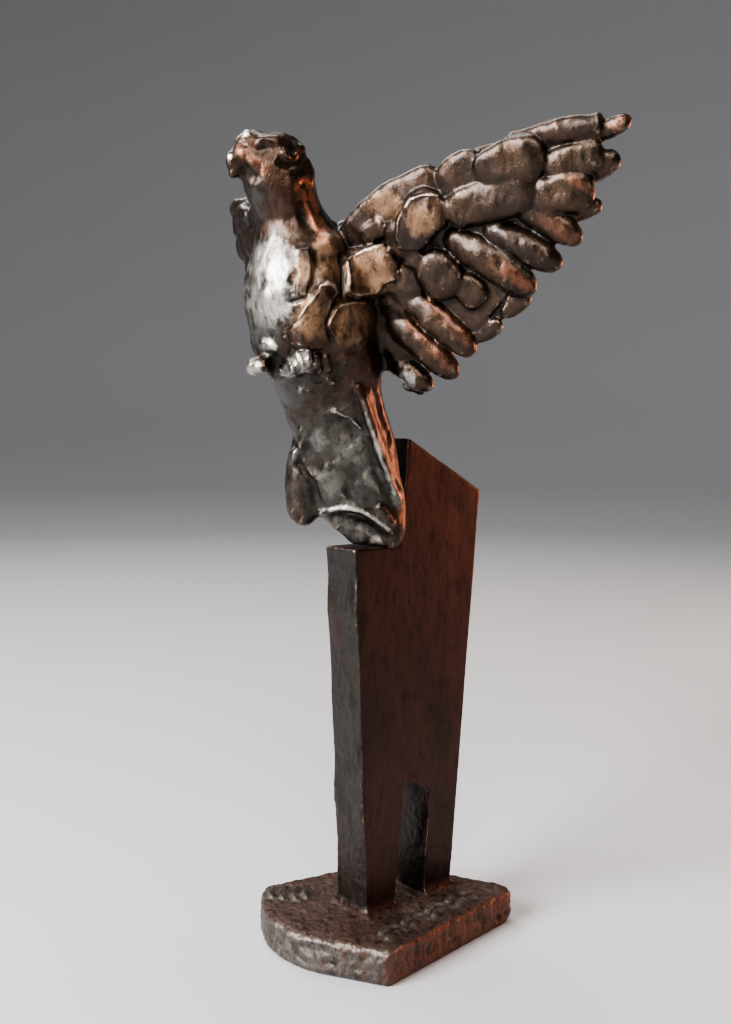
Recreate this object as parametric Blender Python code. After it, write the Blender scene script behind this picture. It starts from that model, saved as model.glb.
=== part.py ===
"""A small cast bronze pigeon that rises, wings raised, out of the notch of a gable-shaped plinth.

The plinth is an upright slab, cut at the top like half a gable with a step in front of it, on a flat
rounded foot. A small doorway goes through the slab. The bird's tail stands in the step.

Frame: metres, +Z up, origin on the foot's underside, below the middle of the slab's thickness. The
slab's broad faces look along -Y and +Y, its narrow front looks along -X, and so does the bird.
"""

import math

import bmesh
import bpy
from mathutils import Matrix, Vector

# foot
FOOT_THICKNESS = 0.009
FOOT_FRONT_REACH = 0.0270       # from the origin to the rounded front end
FOOT_ROUND_RADIUS = 0.0262
FOOT_ROUND_OFFSET = 0.0044      # the round's middle lies this much towards +Y
FOOT_ROUND_START = 128          # degrees, where the round leaves the +Y side
FOOT_ROUND_END = 215            # degrees, where it runs straight on to the near corner
NEAR_CORNER = (-0.0150, -0.0230)
NEAR_CORNER_RADIUS = 0.0020
BACK_CORNER = (0.0345, -0.0186)
BACK_CORNER_RADIUS = 0.0032
FAR_CORNER_OFFSET = 0.0152      # Y of the corner behind, on the +Y side
FAR_CORNER_RADIUS = 0.0050
FOOT_BACK_MARGIN = 0.0016       # foot behind the sweep at the slab's root
FOOT_TOP_ROUNDING = 0.0010
FOOT_UNDER_ROUNDING = 0.0012

# slab, heights from the foot's top
SLAB_THICKNESS = 0.0120
SLAB_FRONT_REACH = 0.0075       # from the origin to the narrow front, at the bottom
SLAB_BACK_REACH = 0.0218        # from the origin to the narrow back, at the bottom
FRONT_LEAN = 0.0039             # how far the front leans out by the step
BACK_LEAN = 0.0104              # how far the back leans out by the eave
STEP_HEIGHT = 0.0931
STEP_DEPTH = 0.0143             # from the front edge to the step's wall
STEP_WALL_LEAN = 0.0034
APEX_HEIGHT = 0.1204
EAVE_HEIGHT = 0.1063
EAVE_RADIUS = 0.0016
SLAB_EDGE_ROUNDING = 0.0004
FRONT_EDGE_WAVE = 0.0004        # the hand-cut front edge wanders by this much
ROOT_FILLET = 0.0024            # sweep of metal where the slab meets the foot
SINK = 0.0010                   # how deep fused pieces run into each other

# doorway, from the slab's front edge and from the foot's top
DOOR_SETBACK = 0.0091
DOOR_WIDTH_BELOW = 0.0102
DOOR_WIDTH_ABOVE = 0.0090
DOOR_HEIGHT_FRONT = 0.0320
DOOR_HEIGHT_BACK = 0.0280
DOOR_LEAN = 0.0038

# shallow strokes on the foot's top, in pairs of bowed bars
STROKE_HEIGHT = 0.00035
STROKE_WIDTH = 0.0012
STROKE_LENGTH = 0.0056
STROKE_BOW = 0.0010
STROKE_APART = 0.0030           # between the two bars of a pair
SIDE_PAIR_COUNT = 4
SIDE_PAIR_PITCH = 0.0084
SIDE_ROW_START = 0.0066         # from the near corner to the first pair, along the edge
SIDE_ROW_INSET = 0.0057         # from the foot's -Y edge to the middle of the pairs
FRONT_PAIR_TURN = 138           # degrees, where the pairs on the round lie
FRONT_PAIR_COUNT = 2
FRONT_PAIR_PITCH = 0.0062
FRONT_PAIR_INSET = 0.0047       # from the round edge to the middle of the first pair

# bird: its own height is from the lowest tip of the tail to the crown
BIRD_HEIGHT = 0.1000
SEAT_SETBACK = 0.0066           # from the step's wall to the middle of the tail's end
SEAT_GAP = 0.0003               # between the tail and the step that it stands in
BIRD_GRAIN = 0.0085             # finest form kept, as a share of the bird's height
BIRD_FACES_KEPT = 0.105         # share of the faces left after thinning
FAR_WING_LIFT = math.radians(6)  # the wing on the +Y side is raised a little higher
FAR_WING_SWING = math.radians(3.5)  # and swung forward

BRONZE_BASE = (0.042, 0.022, 0.016, 1.0)
BRONZE_BIRD = (0.050, 0.032, 0.024, 1.0)


def clear_scene():
    for item in list(bpy.data.objects):
        bpy.data.objects.remove(item)


def bronze(name, colour, roughness):
    material = bpy.data.materials.new(name)
    material.use_nodes = True
    shader = material.node_tree.nodes["Principled BSDF"]
    shader.inputs["Base Color"].default_value = colour
    shader.inputs["Metallic"].default_value = 0.85
    shader.inputs["Roughness"].default_value = roughness
    return material


def add_object(name, shape, material=None, helper=False):
    """Turns a bmesh into an object. A helper only cuts or joins, and is left out of the model."""
    bmesh.ops.recalc_face_normals(shape, faces=shape.faces)
    mesh = bpy.data.meshes.new(name)
    shape.to_mesh(mesh)
    shape.free()
    item = bpy.data.objects.new(name, mesh)
    bpy.context.collection.objects.link(item)
    if material:
        mesh.materials.append(material)
    if helper:
        item.hide_render = True
        item.display_type = "WIRE"
    return item


def combine(item, other, operation):
    step = item.modifiers.new(f"{operation.lower()} {other.name}", "BOOLEAN")
    step.operation = operation
    step.solver = "EXACT"
    step.object = other


def loft(shape, rings):
    """Closed skin through rings that have the same number of points."""
    rows = [[shape.verts.new(point) for point in ring] for ring in rings]
    count = len(rows[0])
    for lower, upper in zip(rows, rows[1:]):
        for i in range(count):
            j = (i + 1) % count
            shape.faces.new((lower[i], lower[j], upper[j], upper[i]))
    for row in (rows[0], rows[-1]):
        centre = sum((v.co for v in row), Vector()) / count
        middle = shape.verts.new(centre)
        for i in range(count):
            shape.faces.new((row[i], row[(i + 1) % count], middle))


def prism(outline, low, high, axis="Z"):
    """Straight extrusion of an outline, given as pairs, between two levels of an axis."""
    shape = bmesh.new()
    place = (lambda a, b, c: (a, b, c)) if axis == "Z" else (lambda a, b, c: (a, c, b))
    base = [shape.verts.new(place(a, b, low)) for a, b in outline]
    face = shape.faces.new(base)
    raised = bmesh.ops.extrude_face_region(shape, geom=[face])["geom"]
    shift = Vector(place(0, 0, high - low))
    bmesh.ops.translate(shape, verts=[g for g in raised if isinstance(g, bmesh.types.BMVert)], vec=shift)
    bmesh.ops.recalc_face_normals(shape, faces=shape.faces)
    return shape


def arc(centre, radius, start, end, steps):
    """Points of an arc in a plane, angles in degrees."""
    points = []
    for k in range(steps + 1):
        turn = math.radians(start + (end - start) * k / steps)
        points.append((centre[0] + radius * math.cos(turn), centre[1] + radius * math.sin(turn)))
    return points


def grown(outline, distance):
    """Moves each edge of a closed outline outwards by a distance, with mitred corners."""
    count = len(outline)
    area = sum(outline[i][0] * outline[(i + 1) % count][1] - outline[(i + 1) % count][0] * outline[i][1]
               for i in range(count))
    side = 1 if area > 0 else -1
    moved = []
    for i in range(count):
        before, here, after = (Vector(outline[k % count]) for k in (i - 1, i, i + 1))
        first = (here - before).normalized()
        second = (after - here).normalized()
        normal_1 = Vector((first.y, -first.x)) * side
        normal_2 = Vector((second.y, -second.x)) * side
        mitre = (normal_1 + normal_2).normalized()
        moved.append(tuple(here + mitre * distance / max(mitre.dot(normal_1), 0.5)))
    return moved


def rounded_corner(before, corner, after, radius, steps=3):
    """Points of the arc that rounds a corner between two neighbouring points."""
    corner = Vector(corner)
    to_before = (Vector(before) - corner).normalized()
    to_after = (Vector(after) - corner).normalized()
    half = math.acos(max(-1, min(1, to_before.dot(to_after)))) / 2
    centre = corner + (to_before + to_after).normalized() * radius / math.sin(half)
    touch = corner + to_before * radius / math.tan(half) - centre
    sweep = math.pi - 2 * half
    if to_before.cross(to_after) > 0:
        sweep = -sweep
    points = []
    for k in range(steps + 1):
        points.append(tuple(centre + Matrix.Rotation(sweep * k / steps, 2) @ touch))
    return points


def round_middle():
    """Middle of the foot's rounded front."""
    return Vector((-FOOT_FRONT_REACH + FOOT_ROUND_RADIUS, FOOT_ROUND_OFFSET))


def foot_outline():
    """Plan of the hand-cut foot: round in front, with a near corner and a slanting back end."""
    front = arc(round_middle(), FOOT_ROUND_RADIUS, FOOT_ROUND_START, FOOT_ROUND_END, 11)
    back = slab_back(0) + ROOT_FILLET + FOOT_BACK_MARGIN
    far_corner = (back, FAR_CORNER_OFFSET)
    bend = (back, 0.0)
    points = front + rounded_corner(front[-1], NEAR_CORNER, BACK_CORNER, NEAR_CORNER_RADIUS)
    points += rounded_corner(NEAR_CORNER, BACK_CORNER, bend, BACK_CORNER_RADIUS)
    points.append(bend)
    points += rounded_corner(bend, far_corner, front[0], FAR_CORNER_RADIUS)
    return points


def make_foot():
    shape = prism(foot_outline(), 0, FOOT_THICKNESS)
    for level, rounding in ((FOOT_THICKNESS, FOOT_TOP_ROUNDING), (0, FOOT_UNDER_ROUNDING)):
        rim = [e for e in shape.edges if all(abs(v.co.z - level) < 1e-7 for v in e.verts)]
        bmesh.ops.bevel(shape, geom=rim, offset=rounding, segments=2, profile=0.5, affect="EDGES")
    return shape


def slab_front(height):
    """X of the slab's narrow front at a height above the foot."""
    return -SLAB_FRONT_REACH - FRONT_LEAN * height / STEP_HEIGHT


def slab_back(height):
    return SLAB_BACK_REACH + BACK_LEAN * height / EAVE_HEIGHT


def step_wall(height):
    """X of the wall behind the step at a height above the foot."""
    rise = (height - STEP_HEIGHT) / (APEX_HEIGHT - STEP_HEIGHT)
    return slab_front(STEP_HEIGHT) + STEP_DEPTH + STEP_WALL_LEAN * rise


def slab_outline(low):
    """Side view of the slab as X and height above the foot, from a level just inside the foot.

    Two sine waves of unlike length make the front edge wander.
    """
    wave_steps = 12
    front = []
    for k in range(wave_steps + 1):
        height = STEP_HEIGHT * (wave_steps - k) / wave_steps
        wave = math.sin(k * 2.1) * (0.6 + 0.4 * math.sin(k * 0.9))
        front.append((slab_front(height) + FRONT_EDGE_WAVE * wave * (0 < k < wave_steps), height))
    apex = (step_wall(APEX_HEIGHT), APEX_HEIGHT)
    eave = Vector((slab_back(EAVE_HEIGHT), EAVE_HEIGHT))
    roof = (Vector(apex) - eave).normalized()
    down = (Vector((slab_back(0), 0)) - eave).normalized()
    centre_way = (roof + down).normalized()
    half = math.acos(max(-1, min(1, roof.dot(down)))) / 2
    centre = eave + centre_way * EAVE_RADIUS / math.sin(half)
    start = math.degrees(math.atan2(-down.x, down.y)) + 180
    end = start + math.degrees(math.pi - 2 * half)
    corner = arc(centre, EAVE_RADIUS, start, end, 4)
    bottom = [(slab_front(0), low), (slab_back(0), low), (slab_back(0), 0)]
    wall = [apex, (step_wall(STEP_HEIGHT), STEP_HEIGHT)]
    return bottom + corner + wall + front


def make_slab(grow=0.0):
    """The slab, standing on the foot. With grow it is the room that the bird leaves for it."""
    outline = slab_outline(-SINK)
    if grow:
        outline = grown(outline, grow)
    half = SLAB_THICKNESS / 2 + grow
    shape = prism([(x, z + FOOT_THICKNESS) for x, z in outline], -half, half, axis="Y")
    if not grow:
        rim = [e for e in shape.edges if abs(e.verts[0].co.y - e.verts[1].co.y) < 1e-7]
        bmesh.ops.bevel(shape, geom=rim, offset=SLAB_EDGE_ROUNDING, segments=1, affect="EDGES")
    return shape


def make_root_fillet():
    """Hollow sweep of metal round the slab's bottom."""
    half = SLAB_THICKNESS / 2
    steps = 4
    rings = []
    for k in range(steps + 1):
        turn = math.pi / 2 * k / steps
        spread = ROOT_FILLET * (1 - math.sin(turn))
        height = ROOT_FILLET * (1 - math.cos(turn))
        low_x, high_x = slab_front(height) - spread, slab_back(height) + spread
        radius = spread + SLAB_EDGE_ROUNDING
        ring = []
        for x, y, start in ((high_x, half + spread, 0), (low_x, half + spread, 90),
                            (low_x, -half - spread, 180), (high_x, -half - spread, 270)):
            centre = (x - math.copysign(radius, x), y - math.copysign(radius, y))
            ring += arc(centre, radius, start, start + 90, 3)
        rings.append([(x, y, height + FOOT_THICKNESS) for x, y in ring])
    rings.insert(0, [(x, y, FOOT_THICKNESS - SINK) for x, y, _ in rings[0]])
    shape = bmesh.new()
    loft(shape, rings)
    return shape


def make_doorway():
    """Cutter of the doorway, down to the foot's top, with a head that slopes like the roof."""
    front = slab_front(0) + DOOR_SETBACK
    lean_back = DOOR_LEAN * DOOR_HEIGHT_BACK / DOOR_HEIGHT_FRONT
    outline = [
        (front, 0),
        (front + DOOR_WIDTH_BELOW, 0),
        (front + lean_back + DOOR_WIDTH_BELOW + (DOOR_WIDTH_ABOVE - DOOR_WIDTH_BELOW), DOOR_HEIGHT_BACK),
        (front + DOOR_LEAN, DOOR_HEIGHT_FRONT),
    ]
    reach = SLAB_THICKNESS / 2 + ROOT_FILLET + SINK
    return prism([(x, z + FOOT_THICKNESS) for x, z in outline], -reach, reach, axis="Y")


def stroke(shape, points):
    """A low rounded ridge along points on the foot's top."""
    sides = 6
    rings = []
    for k, here in enumerate(points):
        before = Vector(points[max(k - 1, 0)])
        after = Vector(points[min(k + 1, len(points) - 1)])
        along = (after - before).normalized()
        across = Vector((-along.y, along.x))
        taper = 0.45 if k in (0, len(points) - 1) else 1.0
        ring = []
        for i in range(sides):
            turn = 2 * math.pi * (i + 0.5) / sides
            offset = across * math.cos(turn) * STROKE_WIDTH / 2 * taper
            ring.append((here[0] + offset.x, here[1] + offset.y,
                         FOOT_THICKNESS + math.sin(turn) * STROKE_HEIGHT * taper))
        rings.append(ring)
    loft(shape, rings)


def stroke_pair(shape, middle, along):
    """Two short bars, one above the other, both bowed the same way."""
    across = Vector((-along.y, along.x))
    for place in (-0.5, 0.5):
        centre = middle + across * STROKE_APART * place
        ends = along * STROKE_LENGTH / 2
        bow = across * STROKE_BOW
        stroke(shape, [tuple(centre - ends), tuple(centre - ends * 0.45 + bow * 0.8),
                       tuple(centre + ends * 0.45 + bow * 0.8), tuple(centre + ends)])


def make_strokes():
    """Pairs of bars along the -Y edge and on the round: ornament, not writing."""
    shape = bmesh.new()
    edge = (Vector(BACK_CORNER) - Vector(NEAR_CORNER)).normalized()
    inward = Vector((-edge.y, edge.x))
    for k in range(SIDE_PAIR_COUNT):
        reach = SIDE_ROW_START + SIDE_PAIR_PITCH * k
        stroke_pair(shape, Vector(NEAR_CORNER) + edge * reach + inward * SIDE_ROW_INSET, edge)
    turn = math.radians(FRONT_PAIR_TURN)
    outward = Vector((math.cos(turn), math.sin(turn)))
    for k in range(FRONT_PAIR_COUNT):
        reach = FOOT_ROUND_RADIUS - FRONT_PAIR_INSET - FRONT_PAIR_PITCH * k
        stroke_pair(shape, round_middle() + outward * reach, Vector((outward.y, -outward.x)))
    return shape


def make_plinth():
    plinth = add_object("plinth", make_foot(), bronze("bronze plinth", BRONZE_BASE, 0.42))
    combine(plinth, add_object("slab body", make_slab(), helper=True), "UNION")
    combine(plinth, add_object("slab root", make_root_fillet(), helper=True), "UNION")
    combine(plinth, add_object("doorway", make_doorway(), helper=True), "DIFFERENCE")
    combine(plinth, add_object("strokes", make_strokes(), helper=True), "UNION")


def share(*numbers):
    """A point or size given in hundredths of the bird's height."""
    scaled = [n * BIRD_HEIGHT / 100 for n in numbers]
    return Vector(scaled) if len(scaled) > 1 else scaled[0]


def seat():
    """Middle of the tail's end on the step's floor, where the bird's own frame starts."""
    floor_x = step_wall(STEP_HEIGHT) - SEAT_SETBACK
    return Vector((floor_x, 0, FOOT_THICKNESS + STEP_HEIGHT))


def ellipse_ring(centre, long_half, short_half, turn, sides=20):
    """Level ring. The long half lies at the given angle from +X, in degrees."""
    way = Vector((math.cos(math.radians(turn)), math.sin(math.radians(turn)), 0))
    across = Vector((-way.y, way.x, 0))
    ring = []
    for i in range(sides):
        t = 2 * math.pi * i / sides
        ring.append(Vector(centre) + way * math.cos(t) * long_half + across * math.sin(t) * short_half)
    return ring


def trunk(shape, stations):
    """Body part through level rings: height, x, y, long half, short half and its angle."""
    loft(shape, [ellipse_ring((x, y, z), long_half, short_half, turn)
                 for z, x, y, long_half, short_half, turn in stations])


def blob(shape, centre, halves, turn=Matrix()):
    """A rounded lump: an ellipsoid with its own turn."""
    scale = Matrix.Diagonal((*halves, 1))
    place = Matrix.Translation(Vector(centre)) @ turn @ scale
    bmesh.ops.create_uvsphere(shape, u_segments=14, v_segments=9, radius=1, matrix=place)


def roll(shape, root, tip, width, depth, face, blunt=0.5, bow=0.0):
    """A finger-rolled feather or toe from root to tip, flat across the direction face."""
    root, tip, face = Vector(root), Vector(tip), Vector(face).normalized()
    along = (tip - root).normalized()
    across = along.cross(face).normalized()
    up = across.cross(along)
    steps, sides = 9, 10
    rings = []
    for k in range(steps + 1):
        t = k / steps
        swell = max(1 - abs(2 * t - 1) ** 3.2, 0.02) ** blunt
        centre = root.lerp(tip, t) + up * bow * math.sin(math.pi * t)
        ring = []
        for i in range(sides):
            a = 2 * math.pi * i / sides
            offset = across * math.cos(a) * width / 2 + up * math.sin(a) * depth / 2
            ring.append(centre + offset * swell)
        rings.append(ring)
    loft(shape, rings)


BODY = (
    # height, x, y, long half, short half, angle of the long half
    (95.6, -26.2, 0.0, 3.2, 2.8, -15),
    (93.4, -26.2, 0.0, 6.2, 5.0, -15),
    (90.5, -25.9, 0.0, 7.9, 6.4, -16),
    (87.0, -25.4, 0.0, 8.6, 7.2, -18),
    (83.5, -24.8, 0.0, 8.5, 7.5, -20),
    (80.0, -22.8, 0.0, 8.5, 7.9, -25),
    (76.5, -20.5, 0.0, 9.2, 8.6, -35),
    (72.4, -19.1, 0.0, 11.1, 10.4, -45),
    (68.9, -19.2, 0.0, 12.1, 11.6, -60),
    (64.2, -19.1, 0.0, 13.6, 13.0, -70),
    (59.0, -18.3, 0.0, 15.0, 13.6, -75),
    (52.5, -16.2, 0.0, 15.8, 13.6, -77),
    (47.0, -14.5, 0.0, 15.9, 13.0, -77),
    (42.3, -12.2, 0.3, 15.0, 11.9, -75),
    (38.7, -10.5, 0.6, 13.8, 10.4, -70),
    (34.9, -9.0, 0.8, 13.3, 8.8, -65),
    (30.1, -6.8, 1.0, 13.2, 8.0, -58),
    (24.2, -5.0, 0.8, 12.9, 7.4, -50),
    (16.8, -2.8, 0.7, 12.2, 6.8, -44),
    (10.5, -0.8, 0.4, 11.8, 6.2, -42),
    (8.4, -0.5, 0.0, 11.2, 5.8, -42),
    (5.0, 0.7, -1.1, 9.6, 5.4, -42),
    (1.4, 2.0, -2.4, 7.2, 4.4, -42),
    (-1.6, 2.6, -3.0, 4.4, 2.6, -42),
)
FAR_TAIL_LOBE = (
    (31.0, -10.6, 8.0, 3.2, 3.0, -42),
    (24.0, -11.5, 9.4, 4.2, 3.8, -42),
    (16.0, -11.8, 10.0, 4.4, 4.0, -42),
    (9.0, -11.5, 10.2, 4.1, 3.8, -42),
    (6.0, -11.2, 10.2, 3.2, 3.0, -42),
    (4.8, -11.0, 10.2, 1.6, 1.6, -42),
)


def scaled_stations(stations):
    return [(*(share(n) for n in row[:-1]), row[-1]) for row in stations]


def make_head(shape):
    facing = Matrix.Rotation(math.radians(165), 4, "Z")
    blob(shape, share(-31.2, 1.6, 93.0), share(4.6, 4.4, 4.0), facing)
    blob(shape, share(-25.2, 0.0, 92.4), share(6.8, 5.6, 4.6), facing)
    roll(shape, share(-30.5, 1.6, 91.4), share(-36.8, 3.2, 88.4), share(5.8), share(5.4), (0, 0, 1),
         bow=share(0.8))
    roll(shape, share(-34.8, 2.6, 89.8), share(-36.4, 3.0, 84.8), share(3.2), share(2.8), (1, 0, 0))
    roll(shape, share(-29.5, 1.0, 86.6), share(-34.4, 2.4, 86.4), share(4.4), share(2.4), (0, 0, 1))
    for side in (-1, 1):
        blob(shape, share(-28.2, 0.7 + side * 4.9, 93.4), share(4.2, 1.5, 1.5), facing)
        blob(shape, share(-23.0, -0.4 + side * 5.2, 92.6), share(2.0, 1.3, 1.6))


def make_foot_claws(shape):
    """Two tucked feet in front of the belly, each a short leg with three curled toes.

    The near foot on the -Y side reaches further forward, and its toes are spread wider.
    """
    facing = math.radians(193)
    front = Vector((math.cos(facing), math.sin(facing), 0))
    left = Vector((-front.y, front.x, 0))
    middle = share(-12.6, 0.2, 44.6)
    for side, reach, apart, spread in ((1, 15.2, 6.6, 3.0), (-1, 15.8, 6.0, 3.2)):
        ball = middle + front * share(reach) - left * side * share(apart)
        roll(shape, ball - front * share(8), ball, share(4.8), share(4.4), (0, 0, 1))
        for k in (-1, 0, 1):
            knuckle = ball + left * k * share(spread) * 0.6 + share(0, 0, 1.6)
            toe = ball + front * share(1.8 - abs(k)) + left * k * share(spread) + share(0, 0, -3.0)
            roll(shape, knuckle, toe, share(3.1), share(3.1), front)


# plates laid on the body's -Y side: root, tip, width, depth and the way that they face
BODY_PLATES = (
    ((-22.9, -12.6, 62.0), (-24.8, -8.8, 46.0), 8.6, 4.4, (-0.6, -0.8, 0.0)),
    ((-15.2, -14.6, 58.4), (-16.5, -14.7, 46.6), 10.4, 4.6, (-0.3, -0.95, 0.0)),
    ((-22.6, -10.4, 70.4), (-15.0, -10.2, 71.6), 5.8, 4.6, (0.0, -0.9, 0.35)),
)
TAIL_STRAP = ((-11.8, -12.0, 40.4), (6.6, -8.2, 9.6), 3.8, 3.4, (-0.3, -0.9, 0.0))


def make_plates(shape):
    """Flat lumps of wax on both sides of the body, and a strap down the tail's -Y side."""
    for side in (1, -1):
        for root, tip, width, depth, facing in BODY_PLATES:
            root, tip, facing = (Vector((v[0], side * v[1], v[2])) for v in (root, tip, facing))
            roll(shape, share(*root), share(*tip), share(width), share(depth), facing, blunt=0.35)
    root, tip, width, depth, facing = TAIL_STRAP
    roll(shape, share(*root), share(*tip), share(width), share(depth), facing, blunt=0.6)


def make_shoulders(shape):
    """Shoulder masses that overlap the breast and carry the wings, and the thighs below them."""
    for side in (-1, 1):
        roll(shape, share(-15.0, side * 9.0, 69.0), share(-12.5, side * 11.2, 48.0), share(12.0), share(10.5),
             (-1, side * 1.2, 0), blunt=0.4)
        roll(shape, share(-17.0, side * 6.0, 60.0), share(-20.5, side * 5.5, 43.0), share(10.0), share(9.0),
             (-1, side * 0.4, 0))


class Wing:
    """A wing as a plane through the shoulder, the tip and the lowest feather, with side -1 or 1."""

    def __init__(self, side, lift=0.0, swing=0.0):
        mirror = Vector((1, -side, 1))
        pose = Matrix.Rotation(side * swing, 3, "Z") @ Matrix.Rotation(side * lift, 3, "X")
        shoulder = share(-12.2, -8.5, 74.7)
        tip = share(10.1, -70.5, 90.7)
        low = share(3.4, -20.5, 38.4)
        flip = Matrix.Diagonal(mirror)
        self.shoulder = flip @ shoulder
        out = flip @ (tip - shoulder)
        down = flip @ (low - shoulder)
        out, down = pose @ out, pose @ down
        self.out = out.normalized()
        self.face = (out.cross(down) * side).normalized()
        self.down = (down - self.out * down.dot(self.out)).normalized()

    def at(self, u, v, proud=0.0):
        """Point u out along the wing, v down across it, and proud of it towards the front."""
        camber = -0.0009 * (u - 30) ** 2 + 0.9 - 0.0012 * v * v
        return self.shoulder + self.out * share(u) + self.down * share(v) + self.face * share(proud + camber)


# rolls on a wing's front: where the root and the tip lie out along it and down across it, width, depth
# and how proud, in hundredths of the bird's height
FEATHERS = (
    (60.0, 1.0, 68.2, 0.2, 3.8, 3.4, 0.0),
    (43.3, -3.6, 62.9, -0.1, 5.4, 4.2, 0.9),
    (54.5, 9.0, 64.2, 5.9, 5.0, 3.8, 0.0),
    (46.0, 12.6, 58.3, 14.5, 4.4, 3.6, 0.1),
    (38.0, 7.4, 51.7, 19.6, 6.8, 4.2, 0.6),
    (30.5, 8.6, 46.3, 23.1, 7.2, 4.4, 0.8),
    (23.0, 8.2, 39.3, 26.9, 8.4, 4.6, 1.0),
    (27.0, 30.6, 36.7, 27.5, 4.8, 3.4, 0.3),
    (19.0, 33.0, 29.9, 30.8, 4.8, 3.4, 0.2),
    (8.7, 17.5, 21.0, 35.2, 8.0, 4.8, 1.4),
    (2.6, 20.0, 15.1, 39.3, 7.8, 4.8, 0.9),
    (-1.5, 30.5, 8.2, 40.4, 6.0, 4.2, 0.5),
)
SCALES = (
    (0.0, 3.2, 16.2, -2.2, 8.4, 4.4, 0.7),
    (10.0, -1.4, 28.0, -3.1, 7.8, 4.2, 0.7),
    (25.6, -1.1, 37.4, -2.6, 8.8, 4.2, 1.3),
    (34.7, -0.8, 50.9, 1.2, 9.4, 4.6, 2.1),
    (48.8, 3.0, 62.0, 4.7, 7.2, 4.2, 0.9),
    (26.2, 5.6, 47.0, 6.0, 9.4, 4.4, 2.2),
    (44.3, 8.6, 58.4, 11.3, 8.6, 4.6, 1.4),
    (10.6, 8.4, 26.8, 0.8, 10.6, 4.2, 2.8),
    (17.2, 10.5, 22.2, 22.4, 10.2, 4.2, 2.4),
    (24.3, 18.8, 27.6, 28.4, 7.4, 3.8, 1.2),
    (7.5, 19.5, 16.6, 11.6, 8.0, 3.8, 1.6),
    (-3.8, 9.3, 10.4, 11.9, 11.6, 4.4, 3.4),
)
BACK_ROWS = (
    # count, first tip, last tip, bulge, first angle, last angle, length, width, how far behind
    (8, (59.0, 5.0), (7.0, 33.0), 4.0, 15, 58, 19, 8.4, 1.0),
    (6, (45.0, 5.0), (7.0, 21.0), 2.5, 10, 48, 16, 9.8, 2.0),
    (5, (56.0, -1.0), (10.0, 3.0), -1.0, 2, 12, 17, 8.6, 1.6),
)


def make_wing(shape, wing):
    web = [(-6, 2), (2, -1), (14, -2.2), (46, -2.2), (60, 1.0), (55, 9), (45, 20), (35, 27), (24, 31.5),
           (10, 34), (-2.5, 32.5), (-7, 16)]
    rings = [[wing.at(u, v, proud) for u, v in web] for proud in (-1.3, 1.3)]
    loft(shape, rings)
    for rows, blunt in ((FEATHERS, 0.34), (SCALES, 0.4)):
        for root_u, root_v, tip_u, tip_v, width, depth, proud in rows:
            roll(shape, wing.at(root_u, root_v, proud - 1.0), wing.at(tip_u, tip_v, proud), share(width),
                 share(depth), wing.face, blunt=blunt)
    for count, first, last, bulge, angle_1, angle_2, length, width, behind in BACK_ROWS:
        for k in range(count):
            t = k / (count - 1)
            swell = bulge * math.sin(math.pi * t)
            u = first[0] + (last[0] - first[0]) * t + 0.4 * swell
            v = first[1] + (last[1] - first[1]) * t + 0.9 * swell
            turn = math.radians(angle_1 + (angle_2 - angle_1) * t)
            root = wing.at(u - length * math.cos(turn), v - length * math.sin(turn), 1.0 - behind)
            roll(shape, root, wing.at(u, v, -behind), share(width), share(3.2), wing.face, blunt=0.4)
    roll(shape, wing.at(-6, 6), wing.at(6, 34, 0.4), share(9), share(7), wing.face)
    roll(shape, wing.at(-7, 9), wing.at(10, 5.5), share(8), share(6), wing.face)


def make_tail_scoop():
    """Cutter of the hollow at the end of the tail's near lobe."""
    shape = bmesh.new()
    turn = (Matrix.Rotation(math.radians(-42), 4, "Z") @ Matrix.Rotation(math.radians(19), 4, "Y")
            @ Matrix.Rotation(math.radians(26), 4, "X"))
    blob(shape, seat() + share(-7.0, -4.5, 2.6), share(15.5, 6.0, 8.8), turn)
    return shape


def make_bird():
    shape = bmesh.new()
    trunk(shape, scaled_stations(BODY))
    trunk(shape, scaled_stations(FAR_TAIL_LOBE))
    make_head(shape)
    make_shoulders(shape)
    make_plates(shape)
    make_foot_claws(shape)
    make_wing(shape, Wing(-1))
    make_wing(shape, Wing(1, FAR_WING_LIFT, FAR_WING_SWING))
    bmesh.ops.translate(shape, verts=shape.verts, vec=seat())
    bird = add_object("pigeon", shape, bronze("bronze bird", BRONZE_BIRD, 0.36))
    fuse = bird.modifiers.new("fuse", "REMESH")
    fuse.mode = "VOXEL"
    fuse.voxel_size = BIRD_HEIGHT * BIRD_GRAIN
    thin = bird.modifiers.new("thin", "DECIMATE")
    thin.ratio = BIRD_FACES_KEPT
    combine(bird, add_object("tail scoop", make_tail_scoop(), helper=True), "DIFFERENCE")
    combine(bird, add_object("seat room", make_slab(SEAT_GAP), helper=True), "DIFFERENCE")


clear_scene()
make_plinth()
make_bird()
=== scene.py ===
import math
import random

import bmesh
import bpy
import numpy as np
from mathutils import Matrix, Vector, noise
from mathutils.bvhtree import BVHTree


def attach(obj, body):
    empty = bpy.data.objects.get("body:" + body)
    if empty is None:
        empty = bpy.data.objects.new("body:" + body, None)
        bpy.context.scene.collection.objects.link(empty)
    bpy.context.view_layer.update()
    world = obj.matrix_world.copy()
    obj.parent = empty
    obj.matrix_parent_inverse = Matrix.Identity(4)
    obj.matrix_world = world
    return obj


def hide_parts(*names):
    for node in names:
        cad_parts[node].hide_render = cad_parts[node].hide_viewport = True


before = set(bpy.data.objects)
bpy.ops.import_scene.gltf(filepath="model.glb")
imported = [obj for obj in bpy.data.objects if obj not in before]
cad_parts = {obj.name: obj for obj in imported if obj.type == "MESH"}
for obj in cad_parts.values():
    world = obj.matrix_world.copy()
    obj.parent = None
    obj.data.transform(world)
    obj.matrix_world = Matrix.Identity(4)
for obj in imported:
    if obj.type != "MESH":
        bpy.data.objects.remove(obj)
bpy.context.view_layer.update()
mm = 0.001
tiny = 1e-9           # keeps a division from zero
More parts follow.
